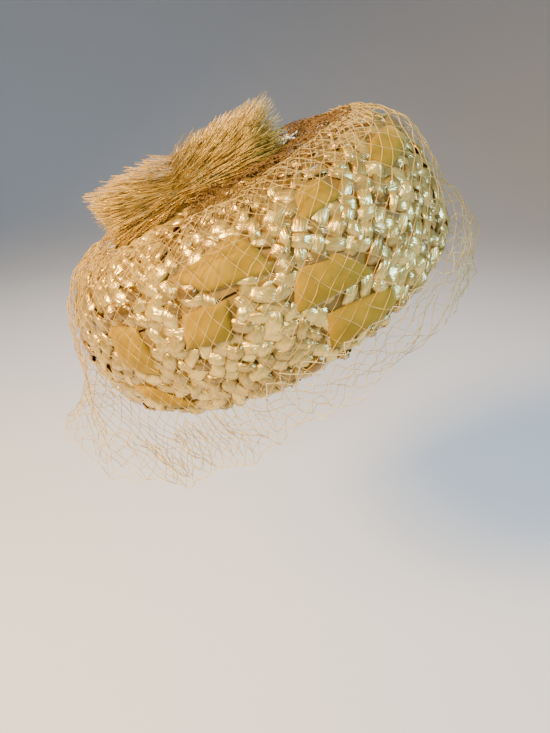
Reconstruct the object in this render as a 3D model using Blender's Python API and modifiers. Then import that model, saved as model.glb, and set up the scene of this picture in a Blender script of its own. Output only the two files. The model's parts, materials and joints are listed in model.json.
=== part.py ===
"""A straw pillbox hat with velvet ribbon folds, a net veil and a brush pompom, as it sits on a head.

The hat faces -Y and +Z is up. The origin is the centre of the head opening. Lengths are in metres.
"""

import math
import random

import bmesh
import bpy
from mathutils import Vector

# Head opening and straw crown
HEAD_LENGTH = 0.197
HEAD_WIDTH = 0.160
STRAW_WALL = 0.0028
CROWN_HEIGHT = 0.068
EAR_DIP = 0.014
WORN_TILT = math.radians(27)
CROWN_SPOKES = 44
CROWN_RINGS = 12

# Velvet ribbon folds
VELVET_WALL = 0.0012
VELVET_LIFT = 0.0005

# Net veil
VEIL_WALL = 0.0010
VEIL_STRAND = 0.0022
VEIL_LIFT = 0.0034
VEIL_SEAT = 0.0004
VEIL_FALL = 0.040
VEIL_GATHER_SHARE = 0.05
VEIL_START_SHARE = 0.63
VEIL_LEAVE_SHARE = 0.66
VEIL_COLUMNS = 20
VEIL_ROWS = 3

# Brush pompom, off to the wearer's right of the tip's middle
POMPOM_LENGTH = 0.104
POMPOM_WIDTH = 0.066
POMPOM_HEIGHT = 0.025
POMPOM_HEART_SHARE = 0.60
POMPOM_SIDE = 0.022
POMPOM_BACK = 0.007
POMPOM_SEAT = 0.0003
LOCK_TAPER_SHARE = 0.80
LOCK_SPREAD_SHARE = 0.10

# Sections of the crown from the rim to the middle of its tip: how far along, the share of the
# rim's reach at the front, sides and back, and the share of the crown's height.
CROWN_SECTIONS = (
    # along, front, side, back, up
    (0.00, 1.00, 1.00, 1.00, 0.00),
    (0.14, 1.01, 1.05, 1.03, 0.22),
    (0.27, 1.00, 1.07, 1.01, 0.45),
    (0.40, 0.97, 1.03, 0.95, 0.68),
    (0.52, 0.90, 0.93, 0.84, 0.86),
    (0.65, 0.74, 0.75, 0.67, 0.96),
    (0.82, 0.40, 0.40, 0.35, 0.99),
    (1.00, 0.00, 0.00, 0.00, 1.00),
)

# Seams round the crown, and the forms between them from the rim to the tip.
CROWN_SEAMS = (
    # ring, share of the way that stays open
    (0, 0.0),
    (4, 0.0080),
    (9, 0.0036),
    (CROWN_RINGS, 0.0),
)
CROWN_FORMS = ("straw_crown", "straw_shoulder", "straw_tip")

# How the veil leaves the crown and falls, at each azimuth from the front. Its belly and hem are
# measured from the rim, outwards and upwards, as shares of VEIL_FALL.
VEIL_SECTIONS = (
    # azimuth, leave, belly_out, belly_up, hem_out, hem_up
    (0, 0.10, 0.31, -0.30, 0.00, -0.86),
    (20, 0.12, 0.26, -0.28, 0.00, -0.78),
    (45, 0.16, 0.14, -0.25, 0.00, -0.55),
    (90, 0.18, 0.13, -0.22, 0.06, -0.50),
    (120, 0.22, 0.18, -0.25, 0.10, -0.78),
    (145, 0.26, 0.30, -0.20, 0.26, -1.15),
    (163, 0.31, 0.48, 0.00, 0.88, -0.85),
    (180, 0.34, 0.60, 0.15, 1.40, -0.42),
)

# Ribbon folds on one side of the hat. A corner is an azimuth from the front and a share of the
# way from the rim to the tip.
VELVET_FOLDS = (
    # name, low front, low back, high back, high front
    ("temple_low", (56, 0.03), (74, 0.04), (72, 0.14), (56, 0.09)),
    ("temple_high", (60, 0.18), (78, 0.20), (75, 0.30), (65, 0.28)),
    ("ear_low", (95, 0.22), (105, 0.24), (102, 0.33), (92, 0.32)),
    ("ear_high", (80, 0.35), (94, 0.37), (100, 0.45), (83, 0.48)),
    ("nape_low", (116, 0.03), (124, 0.03), (131, 0.13), (124, 0.12)),
    ("nape_high", (117, 0.18), (128, 0.22), (127, 0.36), (117, 0.34)),
    ("tip_front", (16, 0.41), (37, 0.39), (41, 0.48), (20, 0.51)),
    ("tip_side", (57, 0.42), (68, 0.42), (65, 0.51), (58, 0.51)),
)

SIDES = (("right", -1), ("left", 1))

STRAW = (0.83, 0.68, 0.36)
VELVET = (0.66, 0.53, 0.20)
NET = (0.86, 0.74, 0.50)
FIBRE = (0.80, 0.66, 0.30)


def spline(rows, at):
    """The columns of a table at a value of its first column, on a smooth curve through the rows."""
    last = len(rows) - 2
    i = next((k for k in range(last) if at < rows[k + 1][0]), last)
    before, low, high, after = (rows[min(max(i + k, 0), last + 1)] for k in (-1, 0, 1, 2))
    span = high[0] - low[0]
    t = (at - low[0]) / span
    values = []
    for a, b, c, d in list(zip(before, low, high, after))[1:]:
        leave = (c - a) / max(high[0] - before[0], 1e-9) * span
        arrive = (d - b) / max(after[0] - low[0], 1e-9) * span
        values.append(
            b * (1 + 2 * t) * (1 - t) ** 2
            + leave * t * (1 - t) ** 2
            + c * t * t * (3 - 2 * t)
            + arrive * t * t * (t - 1)
        )
    return values


def rim_point(azimuth):
    """The outer edge of the rim, at an azimuth from the front towards the wearer's right."""
    half_length = HEAD_LENGTH / 2 + STRAW_WALL
    half_width = HEAD_WIDTH / 2 + STRAW_WALL
    dip = EAR_DIP * math.sin(azimuth) ** 2
    return Vector((-half_width * math.sin(azimuth), -half_length * math.cos(azimuth), -dip))


def outward(azimuth):
    return Vector((-math.sin(azimuth), -math.cos(azimuth), 0))


def crown_point(azimuth, along):
    front, side, back, up = spline(CROWN_SECTIONS, along)
    end = front if math.cos(azimuth) > 0 else back
    out = side + (end - side) * math.cos(azimuth) ** 2
    rim = rim_point(azimuth)
    return Vector((rim.x * out, rim.y * out, CROWN_HEIGHT * up + rim.z * (1 - up) ** 2))


def crown_surface(azimuth, along, lift):
    """A point a little way off the crown, square to its surface."""
    step = 0.004
    low, high = max(along - step, 0), min(along + step, 0.999)
    around = crown_point(azimuth + step, along) - crown_point(azimuth - step, along)
    upward = crown_point(azimuth, high) - crown_point(azimuth, low)
    return crown_point(azimuth, along) + upward.cross(around).normalized() * lift


def veil_point(azimuth, drop):
    """The veil's inner face, from its gathered edge at drop 0 to its hem at drop 1."""
    turn = math.degrees(abs(math.remainder(azimuth, math.tau)))
    leave, belly_out, belly_up, hem_out, hem_up = spline(VEIL_SECTIONS, turn)
    if drop <= VEIL_LEAVE_SHARE:
        share = drop / VEIL_LEAVE_SHARE
        lift = VEIL_SEAT + (VEIL_LIFT - VEIL_SEAT) * min(1, max(0, drop / VEIL_GATHER_SHARE - 1))
        return crown_surface(azimuth, VEIL_START_SHARE + (leave - VEIL_START_SHARE) * share, lift)
    t = (drop - VEIL_LEAVE_SHARE) / (1 - VEIL_LEAVE_SHARE)
    rim, out = rim_point(azimuth), outward(azimuth)
    start = crown_surface(azimuth, leave, VEIL_LIFT)
    belly = rim + out * belly_out * VEIL_FALL + Vector((0, 0, belly_up * VEIL_FALL))
    hem = rim + out * hem_out * VEIL_FALL + Vector((0, 0, hem_up * VEIL_FALL))
    return start * (1 - t) * (1 - 2 * t) + belly * 4 * t * (1 - t) + hem * t * (2 * t - 1)


def material(name, colour, roughness):
    made = bpy.data.materials.new(name)
    made.use_nodes = True
    shader = made.node_tree.nodes["Principled BSDF"]
    shader.inputs["Base Color"].default_value = (*colour, 1)
    shader.inputs["Roughness"].default_value = roughness
    return made


def face_outwards(bm):
    """Turn all the faces of a piece away from the middle of the crown."""
    bmesh.ops.recalc_face_normals(bm, faces=bm.faces)
    inside = Vector((0, 0, CROWN_HEIGHT / 2))
    outwardness = sum(f.normal.dot(f.calc_center_median() - inside) for f in bm.faces)
    if outwardness < 0:
        bmesh.ops.reverse_faces(bm, faces=bm.faces)


def finished(bm, name, skin, hat, smooth_angle=math.radians(40)):
    """The bmesh as a named object that hangs from the hat's tilted frame."""
    face_outwards(bm)
    mesh = bpy.data.meshes.new(name)
    bm.to_mesh(mesh)
    bm.free()
    mesh.materials.append(skin)
    mesh.shade_smooth()
    mesh.set_sharp_from_angle(angle=smooth_angle)
    piece = bpy.data.objects.new(name, mesh)
    hat["collection"].objects.link(piece)
    piece.parent = hat["frame"]
    return piece


def walled(piece, thickness, offset):
    wall = piece.modifiers.new("wall", "SOLIDIFY")
    wall.thickness = thickness
    wall.offset = offset
    wall.use_even_offset = True
    return piece


def straw_form(hat, name, low, high):
    """A flat disc of rings, or a part of one, pressed over the hat block between two seams."""
    bm = bmesh.new()
    low_ring, low_gap = low
    high_ring, high_gap = high
    rings = [k / CROWN_RINGS for k in range(low_ring, high_ring + 1)]
    rings[0] += low_gap / 2
    rings[-1] -= high_gap / 2
    spoke = [bm.verts.new((1 - along, 0, 0)) for along in rings]
    edges = [bm.edges.new(pair) for pair in zip(spoke, spoke[1:])]
    bmesh.ops.spin(
        bm,
        geom=spoke + edges,
        cent=(0, 0, 0),
        axis=(0, 0, 1),
        angle=math.tau,
        steps=CROWN_SPOKES,
        use_merge=True,
    )
    bmesh.ops.remove_doubles(bm, verts=bm.verts, dist=1e-6)
    for vert in bm.verts:
        azimuth = math.atan2(-vert.co.x, -vert.co.y)
        vert.co = crown_point(azimuth, 1 - vert.co.xy.length)
    return walled(finished(bm, name, hat["straw"], hat), STRAW_WALL, -1)


def velvet_fold(hat, name, side, corners):
    """A stretch of ribbon where it comes out from under the straw, lying on the crown."""
    bm = bmesh.new()
    bmesh.ops.create_grid(bm, x_segments=4, y_segments=3, size=0.5)
    low_front, low_back, high_back, high_front = (Vector(c) for c in corners)
    for vert in bm.verts:
        across, rise = vert.co.x + 0.5, vert.co.y + 0.5
        spot = low_front.lerp(low_back, across).lerp(high_front.lerp(high_back, across), rise)
        vert.co = crown_surface(math.radians(spot.x) * -side, spot.y, VELVET_LIFT)
    piece = finished(bm, f"velvet_{name}_{side_name(side)}", hat["velvet"], hat)
    return walled(piece, VELVET_WALL, 1)


def side_name(side):
    return next(name for name, sign in SIDES if sign == side)


def net_sleeve():
    """A straight sleeve of coarse diamond net, one unit high, with a plain band at its top."""
    bm = bmesh.new()
    length = CROWN_HEIGHT + VEIL_FALL + HEAD_WIDTH / 3
    girth = math.pi * (HEAD_LENGTH + HEAD_WIDTH) / 2
    row = (1 - VEIL_GATHER_SHARE) / VEIL_ROWS
    levels = [0] + [VEIL_GATHER_SHARE + k * row for k in range(VEIL_ROWS + 1)]
    line = [bm.verts.new((0, -girth / math.tau, level * length)) for level in levels]
    edges = [bm.edges.new(pair) for pair in zip(line, line[1:])]
    bmesh.ops.spin(
        bm,
        geom=line + edges,
        cent=(0, 0, 0),
        axis=(0, 0, 1),
        angle=math.tau,
        steps=VEIL_COLUMNS,
        use_merge=True,
    )
    bmesh.ops.remove_doubles(bm, verts=bm.verts, dist=1e-6)
    band = VEIL_GATHER_SHARE * length
    net = [f for f in bm.faces if f.calc_center_median().z > band]
    squares = [e for e in bm.edges if len(e.link_faces) == 2 and all(f in net for f in e.link_faces)]
    bmesh.ops.poke(bm, faces=net)
    bmesh.ops.dissolve_edges(bm, edges=squares, use_verts=False)
    collar = band + row * length / 2.5
    cells = [f for f in bm.faces if f.calc_center_median().z > collar]
    bmesh.ops.inset_individual(bm, faces=cells, thickness=VEIL_STRAND / 2, use_even_offset=True)
    bmesh.ops.delete(bm, geom=cells, context="FACES")
    level_edges = [e for e in bm.edges if abs(e.verts[0].co.z - e.verts[1].co.z) < VEIL_STRAND / 4]
    round_edges = [e for e in level_edges if e.calc_length() > 4 * VEIL_STRAND]
    bmesh.ops.subdivide_edges(bm, edges=round_edges, cuts=2, use_grid_fill=True)
    strands = [e for e in bm.edges if e.calc_length() > 5 * VEIL_STRAND]
    bmesh.ops.subdivide_edges(bm, edges=strands, cuts=1, use_grid_fill=True)
    for vert in bm.verts:
        vert.co.z /= length
    return bm


def veil(hat):
    """The net, gathered round the tip, drawn down over the crown and hanging free past the rim."""
    bm = net_sleeve()
    for vert in bm.verts:
        vert.co = veil_point(math.atan2(-vert.co.x, -vert.co.y), vert.co.z)
    return walled(finished(bm, "veil", hat["net"], hat), VEIL_WALL, 1)


def crown_top(x, y):
    """The height of the crown's outer face over a spot on its tip."""
    half_length = HEAD_LENGTH / 2 + STRAW_WALL
    half_width = HEAD_WIDTH / 2 + STRAW_WALL
    azimuth = math.atan2(-x / half_width, -y / half_length)
    reach = math.hypot(x, y)
    low, high = CROWN_SECTIONS[3][0], 1
    while high - low > 1e-4:
        middle = (low + high) / 2
        if crown_point(azimuth, middle).xy.length > reach:
            low = middle
        else:
            high = middle
    return crown_point(azimuth, low).z


def brush_reach(way):
    """How far the brush reaches from its tie: a long block with rounded corners."""
    half = Vector((POMPOM_WIDTH / 2, POMPOM_LENGTH / 2, POMPOM_HEIGHT))
    return 1 / sum(abs(way[k] / half[k]) ** 4 for k in range(3)) ** 0.25


def brush_pompom(hat):
    """A brush of straw fibre tied at its middle: tapering locks that grow out of one heart."""
    dice = random.Random(7)
    bm = bmesh.new()
    bmesh.ops.create_icosphere(bm, subdivisions=3, radius=1)
    heart = Vector((POMPOM_WIDTH / 2, POMPOM_LENGTH / 2, POMPOM_HEIGHT)) * POMPOM_HEART_SHARE
    for vert in bm.verts:
        vert.co *= heart
    bm.normal_update()
    outer = [f for f in bm.faces if f.calc_center_median().z > 0]
    for face in bmesh.ops.extrude_discrete_faces(bm, faces=outer)["faces"]:
        middle = face.calc_center_median()
        way = middle.normalized()
        tip = way * brush_reach(way) * (1 - LOCK_SPREAD_SHARE * dice.random())
        for vert in face.verts:
            vert.co = tip + (vert.co - middle) * LOCK_TAPER_SHARE
    place = Vector((-POMPOM_SIDE, POMPOM_BACK, 0))
    for vert in bm.verts:
        rise = max(vert.co.z, 0)
        vert.co += place
        vert.co.z = crown_top(vert.co.x, vert.co.y) + POMPOM_SEAT + rise
    return finished(bm, "brush_pompom", hat["fibre"], hat)


def main():
    for old in list(bpy.data.objects):
        bpy.data.objects.remove(old)
    collection = bpy.data.collections.new("pillbox_hat")
    bpy.context.scene.collection.children.link(collection)
    frame = bpy.data.objects.new("worn_tilt", None)
    frame.rotation_euler = (-WORN_TILT, 0, 0)
    collection.objects.link(frame)
    hat = {
        "collection": collection,
        "frame": frame,
        "straw": material("straw", STRAW, 0.3),
        "velvet": material("velvet", VELVET, 0.9),
        "net": material("net", NET, 0.6),
        "fibre": material("fibre", FIBRE, 0.4),
    }
    for name, low, high in zip(CROWN_FORMS, CROWN_SEAMS, CROWN_SEAMS[1:]):
        straw_form(hat, name, low, high)
    for _, side in SIDES:
        for name, *corners in VELVET_FOLDS:
            velvet_fold(hat, name, side, corners)
    veil(hat)
    brush_pompom(hat)


main()
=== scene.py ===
import json
import math
import random

import bmesh
import bpy
from mathutils import Matrix, Vector, noise
from mathutils.bvhtree import BVHTree
from mathutils.kdtree import KDTree


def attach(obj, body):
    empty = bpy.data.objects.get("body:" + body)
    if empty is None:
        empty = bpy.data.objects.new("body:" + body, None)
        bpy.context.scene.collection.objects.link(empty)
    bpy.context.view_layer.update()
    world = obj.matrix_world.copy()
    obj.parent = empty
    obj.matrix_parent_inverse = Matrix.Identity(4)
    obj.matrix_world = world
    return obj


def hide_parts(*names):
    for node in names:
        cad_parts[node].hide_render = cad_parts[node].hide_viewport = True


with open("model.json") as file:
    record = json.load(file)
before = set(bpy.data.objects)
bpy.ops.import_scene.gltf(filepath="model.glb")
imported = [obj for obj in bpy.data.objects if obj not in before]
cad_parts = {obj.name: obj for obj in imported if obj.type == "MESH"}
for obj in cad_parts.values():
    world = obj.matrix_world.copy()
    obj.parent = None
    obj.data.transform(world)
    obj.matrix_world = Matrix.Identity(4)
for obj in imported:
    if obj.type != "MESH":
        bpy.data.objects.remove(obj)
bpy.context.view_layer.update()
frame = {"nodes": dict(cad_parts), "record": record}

# How the hat is worn. It is worn tilted back, so everything is laid out upright on the hat block
# first, with the rim level, and then leaned back by the angle of the opening.
opening = Vector(frame["record"]["mounts"][0]["axis"])
lean = math.atan2(-opening.y, -opening.z)
WORN = Matrix.Rotation(-lean, 4, "X")
ON_BLOCK = WORN.inverted()


def cad_copy(*nodes):
    """The meshes of some solids, in one skin each, upright on the hat block."""
    bm = bmesh.new()
    for node in nodes:
        bm.from_mesh(frame["nodes"][node].data)
    bmesh.ops.remove_doubles(bm, verts=bm.verts, dist=1e-6)
    bmesh.ops.transform(bm, matrix=ON_BLOCK, verts=bm.verts)
    return bm


# The blocked crown. The plait, ribbon and net all lie on the outer face of the straw wall, which
# is measured here by probing the wall from outside, along rays to a point inside the crown.
PROBE_HEIGHT = 0.010
PROBE_REACH = 0.300
WALL = 0.0028
SPOKES = 120
STATIONS = 56
LOWEST_LOOK = math.radians(-40)
STRAW_NODES = [name for name in frame["nodes"] if name.startswith("straw_")]
probe_end = Vector((0, 0, PROBE_HEIGHT))
bm = cad_copy(*STRAW_NODES)
bm.normal_update()
inner = [f for f in bm.faces if f.normal.dot((f.calc_center_median() - probe_end).normalized()) < 0.2]
bmesh.ops.delete(bm, geom=inner, context="FACES")
wall = BVHTree.FromBMesh(bm)
bm.free()


def heading(azimuth, elevation=0.0):
    """The way out at an angle from the front towards the wearer's right, and above level."""
    flat = math.cos(elevation)
    return Vector((-math.sin(azimuth) * flat, -math.cos(azimuth) * flat, math.sin(elevation)))


def probe(azimuth, elevation):
    """Where a ray from outside meets the outer face, or nothing below the rim."""
    way = heading(azimuth, elevation)
    spot, _, _, reach = wall.ray_cast(probe_end + way * PROBE_REACH, -way)
    return spot if spot is not None and reach < PROBE_REACH else None


def spoke_line(azimuth):
    """Points an equal way apart up the outer face, from the rim to the middle of the tip."""
    low, high = LOWEST_LOOK, 0.0
    while high - low > 1e-4:
        look = (low + high) / 2
        low, high = (low, look) if probe(azimuth, look) else (look, high)
    looks = [high + (math.pi / 2 - high) * k / STATIONS for k in range(STATIONS + 1)]
    line = [spot for look in looks if (spot := probe(azimuth, look)) is not None]
    walked = [0.0]
    for a, b in zip(line, line[1:]):
        walked.append(walked[-1] + (b - a).length)
    even = []
    k = 0
    for station in range(STATIONS + 1):
        goal = walked[-1] * station / STATIONS
        while k < len(line) - 2 and walked[k + 1] < goal:
            k += 1
        share = (goal - walked[k]) / max(walked[k + 1] - walked[k], 1e-9)
        even.append(line[k].lerp(line[k + 1], min(share, 1.0)))
    return even


crown_grid = [spoke_line(math.tau * k / SPOKES) for k in range(SPOKES)]
RISE = sum((b - a).length for line in crown_grid for a, b in zip(line, line[1:])) / SPOKES


def crown_spot(azimuth, share):
    """A point on the outer face: an angle from the front, and a share of the way to the tip."""
    turn = azimuth / math.tau % 1 * SPOKES
    step = min(max(share, 0.0), 1.0) * STATIONS
    i, j = int(turn) % SPOKES, min(int(step), STATIONS - 1)
    a, b = crown_grid[i], crown_grid[(i + 1) % SPOKES]
    u, v = turn - int(turn), step - j
    return a[j].lerp(b[j], u).lerp(a[j + 1].lerp(b[j + 1], u), v)


def crown_frame(azimuth, share):
    """The point there, the ways round and up the face, and the way out of it."""
    turn, step = 0.07, 0.035
    share = max(share, 0.0)
    low, high = max(share - step, 0.0), min(share + step, 0.985)
    round_way = crown_spot(azimuth + turn, share) - crown_spot(azimuth - turn, share)
    up_way = crown_spot(azimuth, high) - crown_spot(azimuth, low)
    out = up_way.cross(round_way).normalized()
    return crown_spot(azimuth, share), round_way / (2 * turn), up_way / (high - low), out


def off_crown(azimuth, share, lift):
    """A point that stands off the wall. Below the rim it turns under and goes up the inside."""
    spot, _, up_way, out = crown_frame(azimuth, share)
    if share >= 0:
        return spot + out * lift
    edge = WALL / 2
    angle = -share * RISE / edge
    if angle < math.pi:
        way = out * math.cos(angle) - up_way.normalized() * math.sin(angle)
        return spot - out * edge + way * (edge + lift)
    inner, _, _, out = crown_frame(azimuth, (angle - math.pi) * edge / RISE)
    return inner - out * (WALL + lift)


# A shared effect: broken colour. Slow patches of a darker and a lighter tone lie over a finish, so
# that no stretch of straw, velvet, net or fibre is one flat colour.
def tone_group():
    group = bpy.data.node_groups.new("broken_colour", "ShaderNodeTree")
    face = group.interface
    for name in ("Dark", "Light"):
        face.new_socket(name, in_out="INPUT", socket_type="NodeSocketColor")
    for name in ("Tone", "Patch Scale", "Patchiness"):
        face.new_socket(name, in_out="INPUT", socket_type="NodeSocketFloat")
    face.new_socket("Color", in_out="OUTPUT", socket_type="NodeSocketColor")
    nodes, links = group.nodes, group.links
    given, out = nodes.new("NodeGroupInput"), nodes.new("NodeGroupOutput")
    place = nodes.new("ShaderNodeTexCoord")
    patches = nodes.new("ShaderNodeTexNoise")
    patches.inputs["Detail"].default_value = 3
    links.new(place.outputs["Object"], patches.inputs["Vector"])
    links.new(given.outputs["Patch Scale"], patches.inputs["Scale"])
    centred = nodes.new("ShaderNodeMath")
    centred.operation = "SUBTRACT"
    centred.inputs[1].default_value = 0.5
    links.new(patches.outputs["Fac"], centred.inputs[0])
    swing = nodes.new("ShaderNodeMath")
    swing.operation = "MULTIPLY_ADD"
    links.new(centred.outputs[0], swing.inputs[0])
    links.new(given.outputs["Patchiness"], swing.inputs[1])
    links.new(given.outputs["Tone"], swing.inputs[2])
    mix = nodes.new("ShaderNodeMix")
    mix.data_type = "RGBA"
    links.new(swing.outputs[0], mix.inputs["Factor"])
    links.new(given.outputs["Dark"], mix.inputs["A"])
    links.new(given.outputs["Light"], mix.inputs["B"])
    links.new(mix.outputs["Result"], out.inputs["Color"])
    return group


broken_colour = tone_group()


def coloured(made, shader, dark, light, patch_scale, patchiness, tone=0.5):
    """Broken colour on a finish. The tone is a number, or a socket that gives one."""
    nodes, links = made.node_tree.nodes, made.node_tree.links
    mix = nodes.new("ShaderNodeGroup")
    mix.node_tree = broken_colour
    mix.inputs["Dark"].default_value = (*dark, 1)
    mix.inputs["Light"].default_value = (*light, 1)
    mix.inputs["Patch Scale"].default_value = patch_scale
    mix.inputs["Patchiness"].default_value = patchiness
    if isinstance(tone, float):
        mix.inputs["Tone"].default_value = tone
    else:
        links.new(tone, mix.inputs["Tone"])
    links.new(mix.outputs["Color"], shader.inputs["Base Color"])


# The straw wall. The plaited braid is sewn edge to edge over the block into one stiff shell. Its
# under layer shows between the puffed straws, and from below as the inside, in a deep amber far
# darker than the straw itself: painted shade for the crevices between the straws.
BACKING_RIDGES = 160
BACKING_RELIEF = 0.002


def new_material(name, roughness, **settings):
    """A Principled finish with its even values set, and its nodes and links to add to."""
    made = bpy.data.materials.new(name)
    made.use_nodes = True
    shader = made.node_tree.nodes["Principled BSDF"]
    shader.inputs["Roughness"].default_value = roughness
    for socket, value in settings.items():
        shader.inputs[socket.replace("_", " ")].default_value = value
    return made, shader, made.node_tree.nodes, made.node_tree.links


def backing_painted_shade_finish():
    made, shader, nodes, links = new_material("straw_backing_painted_shade", 0.65)
    place = nodes.new("ShaderNodeTexCoord")
    ridges = nodes.new("ShaderNodeTexVoronoi")
    ridges.inputs["Scale"].default_value = BACKING_RIDGES
    links.new(place.outputs["Object"], ridges.inputs["Vector"])
    bump = nodes.new("ShaderNodeBump")
    bump.inputs["Strength"].default_value = 0.6
    bump.inputs["Distance"].default_value = BACKING_RELIEF
    links.new(ridges.outputs["Distance"], bump.inputs["Height"])
    links.new(bump.outputs["Normal"], shader.inputs["Normal"])
    # Painted shade: the under layer is coloured far darker than the straw, for the shade in the crevices
    # between the straws.
    coloured(made, shader, (0.12, 0.065, 0.005), (0.32, 0.19, 0.020), 90.0, 1.6)
    return made


backing_painted_shade = backing_painted_shade_finish()
for name in STRAW_NODES:
    frame["nodes"][name].data.materials.clear()
    frame["nodes"][name].data.materials.append(backing_painted_shade)

# The velvet ribbon. One soft olive gold ribbon is run through the plait and puffed out wherever
# it surfaces, so each stretch is a low cushion with rounded corners and edges tucked under.
VELVET_PUFF = 0.0028
VELVET_TUCK = 0.0004
VELVET_SPREAD = 1.20
VELVET_SKIN = 0.0008
VELVET_CELLS = 12
VELVET_ROUND = 0.10
VELVET_RIPPLE = 0.0014
RIPPLE_SCALE = 130
VELVET_ON_WALL = 0.006
VELVET_NODES = sorted(name for name in frame["nodes"] if name.startswith("velvet_"))


def turn_outwards(bm):
    """Turn each open sheet that lies on the crown so that it faces away from the crown."""
    bmesh.ops.reverse_faces(
        bm,
        faces=[face for face in bm.faces if face.normal.dot(face.calc_center_median() - probe_end) < 0],
    )


def finished(bm, name, skin):
    """Lean a bmesh back as worn and make it a smooth shaded piece."""
    bmesh.ops.transform(bm, matrix=WORN, verts=bm.verts)
    mesh = bpy.data.meshes.new(name)
    bm.to_mesh(mesh)
    bm.free()
    mesh.materials.append(skin)
    mesh.shade_smooth()
    piece = bpy.data.objects.new(name, mesh)
    bpy.context.scene.collection.objects.link(piece)
    return piece


def velvet_finish():
    made, shader, nodes, links = new_material(
        "velvet", 0.80, Sheen_Weight=0.4, Sheen_Roughness=0.35, Specular_IOR_Level=0.2
    )
    shader.inputs["Sheen Tint"].default_value = (1.0, 0.84, 0.42, 1)
    place = nodes.new("ShaderNodeTexCoord")
    pile = nodes.new("ShaderNodeTexNoise")
    pile.inputs["Scale"].default_value = 2600
    links.new(place.outputs["Object"], pile.inputs["Vector"])
    bump = nodes.new("ShaderNodeBump")
    bump.inputs["Strength"].default_value = 0.25
    bump.inputs["Distance"].default_value = 0.0004
    links.new(pile.outputs["Fac"], bump.inputs["Height"])
    links.new(bump.outputs["Normal"], shader.inputs["Normal"])
    coloured(made, shader, (0.22, 0.135, 0.004), (0.44, 0.28, 0.020), 70.0, 1.3)
    return made


def fold_corners(name):
    """The four outer corners of a CAD fold, in turn round it."""
    bm = cad_copy(name)
    bmesh.ops.join_triangles(
        bm, faces=bm.faces, angle_face_threshold=math.pi, angle_shape_threshold=math.pi
    )
    ends = [vert.co.copy() for vert in bm.verts if len(vert.link_faces) == 3]
    bm.free()
    outer = sorted(ends, key=lambda spot: wall.find_nearest(spot)[3])[-4:]
    middle = sum(outer, Vector()) / 4
    out = (middle - probe_end).normalized()
    across = (outer[0] - middle).normalized()
    along = out.cross(across)
    outer.sort(key=lambda spot: math.atan2((spot - middle).dot(along), (spot - middle).dot(across)))
    return outer, middle, out


velvet = velvet_finish()
straw_walls = {node: BVHTree.FromBMesh(cad_copy(node)) for node in STRAW_NODES}
velvet_spots = []
for number, name in enumerate(VELVET_NODES):
    (a, b, c, d), middle, out = fold_corners(name)
    bm = bmesh.new()
    bmesh.ops.create_grid(bm, x_segments=VELVET_CELLS, y_segments=VELVET_CELLS, size=1)
    for vert in bm.verts:
        x, y = vert.co.x, vert.co.y
        across, along = x * math.sqrt(1 - VELVET_ROUND * y * y), y * math.sqrt(1 - VELVET_ROUND * x * x)
        spread = Vector((across, along)) * VELVET_SPREAD / 2 + Vector((0.5, 0.5))
        spot = a.lerp(b, spread.x).lerp(d.lerp(c, spread.x), spread.y)
        crowned = (1 - x * x) * (1 - y * y)
        ripple = noise.noise(spot * RIPPLE_SCALE + Vector((number, 0, 0)))
        face = wall.find_nearest(spot)[0]
        lift = VELVET_TUCK + VELVET_PUFF * crowned ** 0.5 + VELVET_RIPPLE * ripple * crowned ** 0.4
        vert.co = face + out * lift
        velvet_spots.append(face)
    turn_outwards(bm)
    piece = finished(bm, name + "_puff", velvet)
    skin = piece.modifiers.new("skin", "SOLIDIFY")
    skin.thickness = VELVET_SKIN
    skin.offset = -1
    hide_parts(name)
    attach(piece, "root")
    width = ((b - a).length + (c - d).length) / 2 * VELVET_SPREAD
    under = [node for node, part in straw_walls.items() if part.find_nearest(middle)[3] < VELVET_ON_WALL]

# The straw plait. Flat glossy straws cross over and under on the slant. Each puffs up where it
# passes over, crumples like foil, and is pinched where it dives under the next. Painted shade
# darkens each straw towards its ends and edges, where it dives under its neighbours.
PAD_PITCH = 0.0092
ROW_PITCH = 0.0047
PAD_LENGTH = 0.0130
PAD_WIDTH = 0.0078
PAD_PUFF = 0.0021
PAD_DIVE = 0.0014
PAD_PINCH = 0.45
PAD_CREASE = 0.34
PAD_CRUMPLE = 0.30
INSIDE_PUFF = 0.0012
LOW_PUFF_SHARE = 0.6
ROW_STRAY = 0.20
STRAW_SKIN = 0.00025
VELVET_HIDES = 0.0010
VELVET_NEAR = 0.0040
SLANT = math.radians(45)
SLANT_SWING = math.radians(26)
OUTER_CELLS = (8, 5)
INNER_CELLS = (5, 3)


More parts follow.
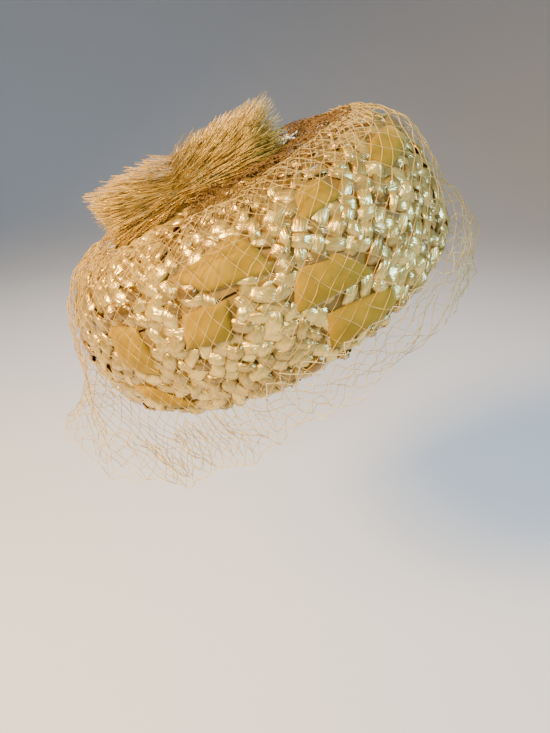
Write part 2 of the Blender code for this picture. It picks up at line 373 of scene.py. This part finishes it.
def straw_finish():
    made, shader, nodes, links = new_material(
        "straw_plait", 0.28, Metallic=0.60, Specular_IOR_Level=0.8, Coat_Weight=0.9, Coat_Roughness=0.10
    )
    own = nodes.new("ShaderNodeAttribute")
    own.attribute_name = "straw_tone"
    pad_end_painted_shade = nodes.new("ShaderNodeAttribute")
    pad_end_painted_shade.attribute_name = "straw_end_painted_shade"
    # Painted shade: the straw's own tone is darkened towards the ends and edges of each straw, where it dives
    # under its neighbours.
    tone_with_painted_shade = nodes.new("ShaderNodeMath")
    tone_with_painted_shade.operation = "MULTIPLY_ADD"
    tone_with_painted_shade.inputs[1].default_value = -0.75
    links.new(pad_end_painted_shade.outputs["Fac"], tone_with_painted_shade.inputs[0])
    links.new(own.outputs["Fac"], tone_with_painted_shade.inputs[2])
    strip = nodes.new("ShaderNodeUVMap")
    strip.uv_map = "strip"
    shift = nodes.new("ShaderNodeVectorMath")
    shift.operation = "MULTIPLY_ADD"
    shift.inputs[1].default_value = (37, 61, 83)
    links.new(own.outputs["Fac"], shift.inputs[0])
    links.new(strip.outputs["UV"], shift.inputs[2])
    stretch = nodes.new("ShaderNodeMapping")
    stretch.inputs["Scale"].default_value = (0.9, 2.6, 1.0)
    links.new(shift.outputs["Vector"], stretch.inputs["Vector"])
    crinkle = nodes.new("ShaderNodeTexNoise")
    crinkle.inputs["Scale"].default_value = 1.0
    crinkle.inputs["Detail"].default_value = 1.5
    crinkle.inputs["Distortion"].default_value = 1.5
    links.new(stretch.outputs["Vector"], crinkle.inputs["Vector"])
    comb = nodes.new("ShaderNodeMapping")
    comb.inputs["Scale"].default_value = (1.5, 22.0, 1.0)
    links.new(shift.outputs["Vector"], comb.inputs["Vector"])
    streaks = nodes.new("ShaderNodeTexNoise")
    streaks.inputs["Scale"].default_value = 1.0
    links.new(comb.outputs["Vector"], streaks.inputs["Vector"])
    relief = nodes.new("ShaderNodeMath")
    relief.operation = "MULTIPLY_ADD"
    relief.inputs[1].default_value = 0.16
    links.new(streaks.outputs["Fac"], relief.inputs[0])
    links.new(crinkle.outputs["Fac"], relief.inputs[2])
    bump = nodes.new("ShaderNodeBump")
    bump.inputs["Strength"].default_value = 1.0
    bump.inputs["Distance"].default_value = 0.0007
    links.new(relief.outputs[0], bump.inputs["Height"])
    links.new(bump.outputs["Normal"], shader.inputs["Normal"])
    links.new(bump.outputs["Normal"], shader.inputs["Coat Normal"])
    coloured(made, shader, (0.22, 0.12, 0.006), (0.90, 0.69, 0.19), 120.0, 0.9, tone_with_painted_shade.outputs[0])
    return made


straw = straw_finish()
velvet_tree = KDTree(len(velvet_spots))
for index, spot in enumerate(velvet_spots):
    velvet_tree.insert(spot, index)
velvet_tree.balance()


def puffed_pad(bm, layers, cells, azimuth, share, slant, dice, puff):
    """One straw passing over: a crowned strip laid on the wall, with pinched ends."""
    tone, pad_end_painted_shade = layers
    _, round_way, up_way, _ = crown_frame(azimuth, share)
    grid = bmesh.ops.create_grid(bm, x_segments=cells[0], y_segments=cells[1], size=1, calc_uvs=True)
    length = PAD_LENGTH * dice.uniform(0.84, 1.22) / 2
    width = PAD_WIDTH * dice.uniform(0.85, 1.12) / 2
    puff *= dice.uniform(0.70, 1.30)
    cant, fold, fold_at = dice.uniform(-0.7, 0.7), dice.uniform(0.2, 1.0), dice.uniform(-0.5, 0.5)
    seed = Vector((dice.random() * 90, dice.random() * 90, 0))
    own_tone = min(max(dice.gauss(0.66, 0.24), 0), 1)
    for vert in grid["verts"]:
        x, y = vert.co.x, vert.co.y
        pinch = 1 - PAD_PINCH * abs(x) ** 3
        crease = 0.5 - abs(noise.noise(seed + Vector((x * 0.8, y * 2.6, 0)))) * 2.4
        crumple = noise.noise(seed + Vector((x * 2.4, y * 2.0, 7)))
        hump = (1 - abs(x) ** 2.2) * (1.1 - 0.4 * y ** 4 - fold * abs(y - fold_at))
        lift = puff * (hump + cant * y * (1 - abs(x)) + PAD_CREASE * crease + PAD_CRUMPLE * crumple)
        lift -= PAD_DIVE * x ** 4
        across, along = width * y * pinch, length * x
        round_mm = along * math.cos(slant) - across * math.sin(slant)
        up_mm = along * math.sin(slant) + across * math.cos(slant)
        spot_turn = azimuth + round_mm / max(round_way.length, 0.006)
        vert.co = off_crown(spot_turn, share + up_mm / up_way.length, lift)
        vert[tone] = own_tone
        # Painted shade mark: 0 in the middle of the straw, rising to 1 at its ends and edges, where it dives
        # under its neighbours.
        vert[pad_end_painted_shade] = max(abs(x) ** 3, 0.8 * abs(y) ** 5)


def plait_band(name, low_share, high_share, puff, cells, seed):
    """The rows of puffed straws between two shares of the way up the crown."""
    dice = random.Random(seed)
    bm = bmesh.new()
    bm.loops.layers.uv.new("strip")
    layers = [bm.verts.layers.float.new(layer) for layer in ("straw_tone", "straw_end_painted_shade")]
    for row in range(round(low_share * RISE / ROW_PITCH), round(high_share * RISE / ROW_PITCH)):
        share = (row + 0.5) * ROW_PITCH / RISE
        level = [crown_spot(math.tau * k / SPOKES, abs(share)) for k in range(SPOKES + 1)]
        girth = sum((b - a).length for a, b in zip(level, level[1:]))
        count = max(round(girth / PAD_PITCH), 1)
        for k in range(count):
            azimuth = math.tau * (k + 0.5 * (row % 2) + dice.uniform(-ROW_STRAY, ROW_STRAY)) / count
            slant = (SLANT if row % 2 else -SLANT) + dice.uniform(-1, 1) * SLANT_SWING
            rise = share + dice.uniform(-ROW_STRAY, ROW_STRAY) * ROW_PITCH / RISE
            gap = velvet_tree.find(crown_spot(azimuth, rise))[2] if rise > 0 else VELVET_NEAR
            if gap > VELVET_HIDES:
                low_puff = puff if gap >= VELVET_NEAR else puff * LOW_PUFF_SHARE
                puffed_pad(bm, layers, cells, azimuth, rise, slant, dice, low_puff)
    bmesh.ops.reverse_faces(bm, faces=bm.faces)
    piece = finished(bm, name, straw)
    skin = piece.modifiers.new("skin", "SOLIDIFY")
    skin.thickness = STRAW_SKIN
    skin.offset = 0
    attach(piece, "root")


plait_band("plait_inside", -0.97, -0.08, INSIDE_PUFF, INNER_CELLS, 10)
plait_band("plait_rim", -0.08, 0.22, PAD_PUFF, OUTER_CELLS, 11)
plait_band("plait_wall", 0.22, 0.48, PAD_PUFF, OUTER_CELLS, 12)
plait_band("plait_tip", 0.48, 1.0, PAD_PUFF, OUTER_CELLS, 13)

# The veil. Coarse knotted net, gathered round the tip, lies over the crown and falls free past
# the rim. Its hem is folded back under, so it shows double there, and it trails out behind. The
# folded-back hem is given a paler copy of the net's colour: painted light.
NET_CELL = 0.0092
NET_STRAND = 0.00038
NET_KNOT = 0.00080
NET_COLUMNS = 66
NET_DEPTH = 0.19
NET_STRAY = 0.0016
HEM_STRAY = 0.0026
FOLD_STRAY = 0.0034
FOLD_COLUMNS = 72
FOLD_STRAND = 1.45
GATHER_SHARE = 0.53
NET_LIFT = 0.0050
NET_FALLS = (
    # degrees from the front, share it leaves the crown at, belly out and up, hem out and up
    (0, 0.120, 0.0120, -0.0050, 0.0000, -0.0330),
    (20, 0.120, 0.0104, -0.0060, 0.0000, -0.0312),
    (45, 0.106, 0.0056, -0.0100, 0.0000, -0.0220),
    (90, 0.121, 0.0052, -0.0088, 0.0024, -0.0200),
    (120, 0.168, 0.0072, -0.0100, 0.0040, -0.0312),
    (145, 0.200, 0.0120, -0.0080, 0.0104, -0.0460),
    (163, 0.245, 0.0192, 0.0000, 0.0352, -0.0340),
    (180, 0.270, 0.0240, 0.0060, 0.0560, -0.0168),
)
FALL_SPOKES = 96
FALL_STEP = 0.003
FOLD_BACK = 0.034
ASKEW = 9.0
LOOSE_HEM = 0.040
NOISE_SEED = 5

# Noise vectors take their offsets from the clock until they are seeded, so the net would differ.
noise.seed_set(NOISE_SEED)


def net_finish(name, dark, light):
    made, shader, _, _ = new_material(name, 0.55, Specular_IOR_Level=0.4)
    coloured(made, shader, dark, light, 60.0, 1.2)
    return made


def fall_row(azimuth):
    """The table's values at an angle from the front, eased between its rows."""
    degrees = abs((math.degrees(azimuth) + 180) % 360 - 180)
    for low, high in zip(NET_FALLS, NET_FALLS[1:]):
        if degrees <= high[0]:
            share = (degrees - low[0]) / (high[0] - low[0])
            share = share * share * (3 - 2 * share)
            return [a + (b - a) * share for a, b in zip(low[1:], high[1:])]
    return list(NET_FALLS[-1][1:])


def fall_line(azimuth):
    """The way the net takes from the gathers over the crown and out to its hem, in even steps."""
    leave, belly_out, belly_up, hem_out, hem_up = fall_row(azimuth)
    line = [
        off_crown(azimuth, GATHER_SHARE + (leave - GATHER_SHARE) * k / 20, NET_LIFT) for k in range(21)
    ]
    rim, start, out = crown_spot(azimuth, 0), line[-1], heading(azimuth)
    belly = rim + out * belly_out + Vector((0, 0, belly_up))
    hem = rim + out * hem_out + Vector((0, 0, hem_up))
    for k in range(1, 41):
        t = k / 40
        line.append(start * (1 - t) * (1 - 2 * t) + belly * 4 * t * (1 - t) + hem * t * (2 * t - 1))
    even, owed = [line[0]], FALL_STEP
    for a, b in zip(line, line[1:]):
        length = (b - a).length
        while owed <= length:
            even.append(a.lerp(b, owed / length))
            owed += FALL_STEP
        owed -= length
    return even


falls = [fall_line(math.tau * k / FALL_SPOKES) for k in range(FALL_SPOKES)]


def fall_length(azimuth):
    turn = azimuth / math.tau % 1 * FALL_SPOKES
    a, b = falls[int(turn) % FALL_SPOKES], falls[(int(turn) + 1) % FALL_SPOKES]
    return (len(a) + (len(b) - len(a)) * (turn - int(turn)) - 1) * FALL_STEP


def fall_spot(azimuth, drop):
    """A point on the net, a drop down from the gathers. Past the hem it carries straight on."""
    turn = azimuth / math.tau % 1 * FALL_SPOKES
    found = []
    for line in (falls[int(turn) % FALL_SPOKES], falls[(int(turn) + 1) % FALL_SPOKES]):
        step = drop / FALL_STEP
        k = min(max(int(step), 0), len(line) - 2)
        found.append(line[k] + (line[k + 1] - line[k]) * (step - k))
    return found[0].lerp(found[1], turn - int(turn))


def netting(name, columns, length, cell, place, kept, strand, skin):
    """Knotted net as a sleeve. A strand runs corner to corner of each cell, knotted at the ends."""
    bm = bmesh.new()
    bmesh.ops.create_grid(bm, x_segments=columns, y_segments=round(length / cell), size=1)
    for vert in bm.verts:
        turn = math.pi * vert.co.x
        vert.co = (math.cos(turn), math.sin(turn), (1 - vert.co.y) / 2)
    bmesh.ops.remove_doubles(bm, verts=bm.verts, dist=1e-5)
    lines = [edge for edge in bm.edges if not edge.is_boundary]
    bmesh.ops.poke(bm, faces=bm.faces)
    bmesh.ops.dissolve_edges(bm, edges=lines, use_verts=False)
    knots = list(bm.verts)
    bmesh.ops.subdivide_edges(bm, edges=bm.edges, cuts=1)
    cut = []
    for vert in bm.verts:
        azimuth, drop = math.atan2(vert.co.y, vert.co.x), vert.co.z * length
        if not kept(azimuth, drop):
            cut.append(vert)
        vert.co = place(azimuth, drop)
    bmesh.ops.delete(bm, geom=cut, context="VERTS")
    bm.normal_update()
    ties = [knot.co.copy() for knot in knots if knot.is_valid]
    bmesh.ops.wireframe(
        bm, faces=bm.faces, thickness=strand, use_replace=True, use_boundary=True, use_even_offset=False
    )
    for tie in ties:
        bmesh.ops.create_icosphere(bm, subdivisions=1, radius=NET_KNOT, matrix=Matrix.Translation(tie))
    piece = finished(bm, name, skin)
    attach(piece, "root")
    return piece


def strayed(spot, slack, seed):
    """A point of net moved as loose net lies: cells pulled out of true, and lifted in places."""
    pulled = noise.noise_vector(spot * 95 + Vector((seed, 0, 0))) * slack
    lifted = abs(noise.noise(spot * 32 + Vector((0, seed, 0)))) * slack * 2
    return spot + pulled + (spot - probe_end).normalized() * lifted


def askew(azimuth, drop):
    return azimuth + ASKEW * drop * math.sin(azimuth) * (0.5 + 0.5 * math.cos(azimuth))


def over_place(azimuth, drop):
    turned = askew(azimuth, drop)
    loose = min(max(1 - (fall_length(turned) - drop) / LOOSE_HEM, 0), 1)
    return strayed(fall_spot(turned, drop), NET_STRAY + HEM_STRAY * loose, 0)


def over_kept(azimuth, drop):
    return drop < fall_length(askew(azimuth, drop))


def under_place(azimuth, drop):
    turned = askew(azimuth, drop + 0.08)
    spot = fall_spot(turned, fall_length(turned) - drop + 0.003)
    inward = min(drop / 0.012, 1) * 0.004
    return strayed(spot - heading(turned) * inward, FOLD_STRAY, 5)


def under_kept(azimuth, drop):
    return drop < FOLD_BACK


net = net_finish("net", (0.40, 0.25, 0.045), (0.76, 0.55, 0.18))
# Painted light: the folded-back hem is the same net, given a paler colour as if more brightly lit.
hem_net_painted_light = net_finish("hem_net_painted_light", (0.66, 0.50, 0.20), (0.92, 0.80, 0.48))
veil = netting("veil_over", NET_COLUMNS, NET_DEPTH, NET_CELL, over_place, over_kept, NET_STRAND, net)
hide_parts("veil")
fold = netting(
    "veil_fold", FOLD_COLUMNS, FOLD_BACK, NET_CELL, under_place, under_kept, NET_STRAND * FOLD_STRAND, hem_net_painted_light
)
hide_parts("veil")


GATHER = (88, 0.017, 0.0043)
GATHER_STRAND = 0.00045
BUNCH = (76, 0.026, 0.0035)
BUNCH_STRAND = 0.00055
BUNCH_ENDS = 3.08


def gather_place(azimuth, drop):
    low = 0.44 + 0.02 * noise.noise(heading(azimuth) * 2) - 0.02 * math.cos(azimuth)
    lift = 0.0042 + 0.002 * abs(noise.noise(heading(azimuth) * 9 + Vector((0, 0, drop * 200))))
    return strayed(off_crown(azimuth, low + drop / RISE, lift), 0.0015, 9)


def bunch_place(azimuth, drop):
    spread = math.radians(20) + azimuth * 0.42
    lift = 0.0040 + 0.002 * noise.noise(heading(azimuth * 3) * 6 + Vector((0, 0, drop * 150)))
    return strayed(off_crown(spread, 0.50 + drop / RISE, lift), 0.0020, 13)


# Painted shade: the bunch at the front is the same net, given a much darker colour for the shade inside its
# piled-up layers.
bunch_painted_shade = net_finish("bunched_net_painted_shade", (0.06, 0.030, 0.004), (0.23, 0.13, 0.035))
gathers = netting(
    "veil_gathers", *GATHER, gather_place, lambda azimuth, drop: True, GATHER_STRAND, net
)
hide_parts("veil")
bunch = netting(
    "veil_bunch", *BUNCH, bunch_place, lambda azimuth, drop: abs(azimuth) < BUNCH_ENDS, BUNCH_STRAND, bunch_painted_shade
)
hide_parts("veil")

# The brush pompom. Two sheaves of cut straw fibre, some ten thousand in all, are tied at the waist
# and combed out flat to both ends. They are packed at the root; their colour runs from dark at the root
# to light at the tips, painted shade in the packed waist and painted light at the tips, which glint.
FIBRE_STEPS = 4
FIBRE_WIDTH_SHARE = 0.30
FIBRE_TAPER = 0.85
FIBRE_BEND = 0.0016
FIBRE_REACH = (0.010, 0.026)
HEART = (0.80, 0.56, 0.66)
STRAY_SHARE = 0.006
CUT_RAGGED = 0.0035
CUT_ROUND = 0.45


def fibre_finish():
    made, shader, nodes, links = new_material(
        "fibre", 0.34, Metallic=0.20, Specular_IOR_Level=0.7, Coat_Weight=0.3, Coat_Roughness=0.20
    )
    root = nodes.new("ShaderNodeAttribute")
    root.attribute_name = "fibre_share"
    # Painted shade and light: the colour runs along each fibre from dark at the root to light at the tip.
    coloured(made, shader, (0.19, 0.115, 0.008), (0.58, 0.37, 0.045), 160.0, 1.1, root.outputs["Fac"])
    return made


bm = cad_copy("brush_pompom")
low = Vector([min(vert.co[axis] for vert in bm.verts) for axis in range(3)])
high = Vector([max(vert.co[axis] for vert in bm.verts) for axis in range(3)])
bm.free()
half = (high - low) / 2
fibre = fibre_finish()
for end, name in ((-1, "pompom_front"), (1, "pompom_back")):
    dice = random.Random(40 + end)
    bm = bmesh.new()
    share_layer = bm.verts.layers.float.new("fibre_share")
    own = bm.faces.layers.float.new("own")
    lie = bm.faces.layers.float_vector.new("lie")
    bmesh.ops.create_icosphere(bm, subdivisions=5, radius=1)
    middle = (low + high) / 2 + Vector((0, end * half.y * 0.12, -half.z * 0.28))
    for vert in bm.verts:
        pinch = 0.93 + 0.07 * end * vert.co.y
        block = [math.copysign(abs(value) ** 0.8, value) for value in vert.co]
        vert.co = middle + Vector((
            block[0] * half.x * HEART[0] * pinch,
            block[1] * half.y * HEART[1],
            block[2] * half.z * HEART[2] * pinch,
        ))
    bm.normal_update()
    for face in bm.faces:
        spot, out = face.calc_center_median(), face.normal
        fan = Vector((out.x * 0.20, end, max(out.z * 0.45, -0.10))) + noise.noise_vector(spot * 160) * 0.16
        if dice.random() < STRAY_SHARE:
            fan += Vector((dice.uniform(-0.3, 0.3), -end * 0.4, dice.uniform(0.1, 0.3)))
        cut = end * half.y * (0.91 - 0.05 * end - CUT_ROUND * ((spot.x - middle.x) / half.x) ** 2)
        reach = ((low.y + high.y) / 2 + cut - spot.y) / fan.y
        if fan.z > 0.02:
            reach = min(reach, max(high.z - spot.z, 0.002) / fan.z)
        face[own] = min(reach, dice.uniform(*FIBRE_REACH)) + dice.uniform(-CUT_RAGGED, CUT_RAGGED)
        face[lie] = fan
    fibres = list(bm.faces)
    for step in range(1, FIBRE_STEPS + 1):
        fibres = bmesh.ops.extrude_discrete_faces(bm, faces=fibres)["faces"]
        for face in fibres:
            spot = face.calc_center_median()
            bent = noise.noise_vector(spot * 500) * FIBRE_BEND
            there = spot + face[lie] * face[own] / FIBRE_STEPS + bent
            narrow = FIBRE_WIDTH_SHARE if step == 1 else FIBRE_TAPER
            for vert in face.verts:
                vert.co = there + (vert.co - spot) * narrow
                # The share along the fibre, which drives the painted shade at the root and the painted light
                # at the tip.
                vert[share_layer] = step / FIBRE_STEPS
    bmesh.ops.recalc_face_normals(bm, faces=bm.faces)
    sheaf = finished(bm, name, fibre)
    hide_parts("brush_pompom")
    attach(sheaf, "root")

# The camera stands at the wearer's right, close in and a little above, as in the photograph.
PHOTO_WIDTH, PHOTO_HEIGHT = 550, 733
FOCAL_PIXELS = 550
CAMERA_AWAY = 0.316
CAMERA_PITCH = math.radians(27.4)
OPENING_PIXEL = (272, 295)
look = Vector((math.cos(CAMERA_PITCH), 0, -math.sin(CAMERA_PITCH)))
right = look.cross(Vector((0, 0, 1))).normalized()
above = right.cross(look)
per_pixel = CAMERA_AWAY / FOCAL_PIXELS
camera_data = bpy.data.cameras.new("camera")
camera_data.sensor_width = 36
camera_data.lens = FOCAL_PIXELS / PHOTO_HEIGHT * camera_data.sensor_width
camera_data.clip_start = 0.01
camera = bpy.data.objects.new("camera", camera_data)
camera.location = -(
    look * CAMERA_AWAY
    + right * (OPENING_PIXEL[0] - PHOTO_WIDTH / 2) * per_pixel
    - above * (OPENING_PIXEL[1] - PHOTO_HEIGHT / 2) * per_pixel
)
camera.rotation_euler = look.to_track_quat("-Z", "Y").to_euler()
bpy.context.scene.collection.objects.link(camera)
bpy.context.scene.camera = camera

# The setting. A plain pale floor lies well below the hat and curves up far behind it. Warm light
# comes from the back of the hat and cool daylight from its front, as in the photograph.
FLOOR_DROP = 0.26
FLOOR_FLAT = 1.4
FLOOR_REACH = 6.0
FLOOR_CURVE = 0.35
bm = bmesh.new()
bmesh.ops.create_grid(bm, x_segments=96, y_segments=40, size=1)
for vert in bm.verts:
    turn, away = math.pi * vert.co.x, FLOOR_REACH * (vert.co.y + 1) / 2
    rise = FLOOR_CURVE * max(away - FLOOR_FLAT, 0) ** 2
    vert.co = (math.sin(turn) * away, math.cos(turn) * away, rise)
bmesh.ops.remove_doubles(bm, verts=bm.verts, dist=1e-5)
floor_mesh = bpy.data.meshes.new("floor")
bm.to_mesh(floor_mesh)
bm.free()
floor_mesh.transform(Matrix.Translation((0, 0, -FLOOR_DROP)))
floor_finish = new_material("floor", 0.9)[0]
floor_finish.node_tree.nodes["Principled BSDF"].inputs["Base Color"].default_value = (0.86, 0.86, 0.87, 1)
floor_mesh.materials.append(floor_finish)
floor_mesh.shade_smooth()
floor = bpy.data.objects.new("floor", floor_mesh)
bpy.context.scene.collection.objects.link(floor)

LAMP_SPREAD = math.radians(110)
STUDIO_STRENGTH = 0.24
LIGHTS = (
    # name, place, width, watts, colour
    ("warm_key", (-0.42, 0.70, 0.60), 0.28, 11.5, (1.0, 0.62, 0.26)),
    ("cool_front", (-0.52, -1.35, 0.60), 0.42, 9.6, (0.38, 0.67, 1.0)),
    ("soft_side", (-1.10, 0.20, 0.70), 0.34, 3.6, (1.0, 0.94, 0.78)),
    ("far_rim", (0.90, 0.30, 0.60), 0.60, 2.4, (0.80, 0.90, 1.0)),
)
for name, place, width, watts, colour in LIGHTS:
    lamp_data = bpy.data.lights.new(name, "AREA")
    lamp_data.size = width
    lamp_data.energy = watts
    lamp_data.color = colour
    lamp_data.spread = LAMP_SPREAD
    lamp = bpy.data.objects.new(name, lamp_data)
    lamp.location = place
    lamp.rotation_euler = (-Vector(place)).to_track_quat("-Z", "Y").to_euler()
    bpy.context.scene.collection.objects.link(lamp)
world = bpy.data.worlds.new("studio")
world.use_nodes = True
world.node_tree.nodes["Background"].inputs["Color"].default_value = (0.85, 0.88, 0.92, 1)
world.node_tree.nodes["Background"].inputs["Strength"].default_value = STUDIO_STRENGTH
bpy.context.scene.world = world
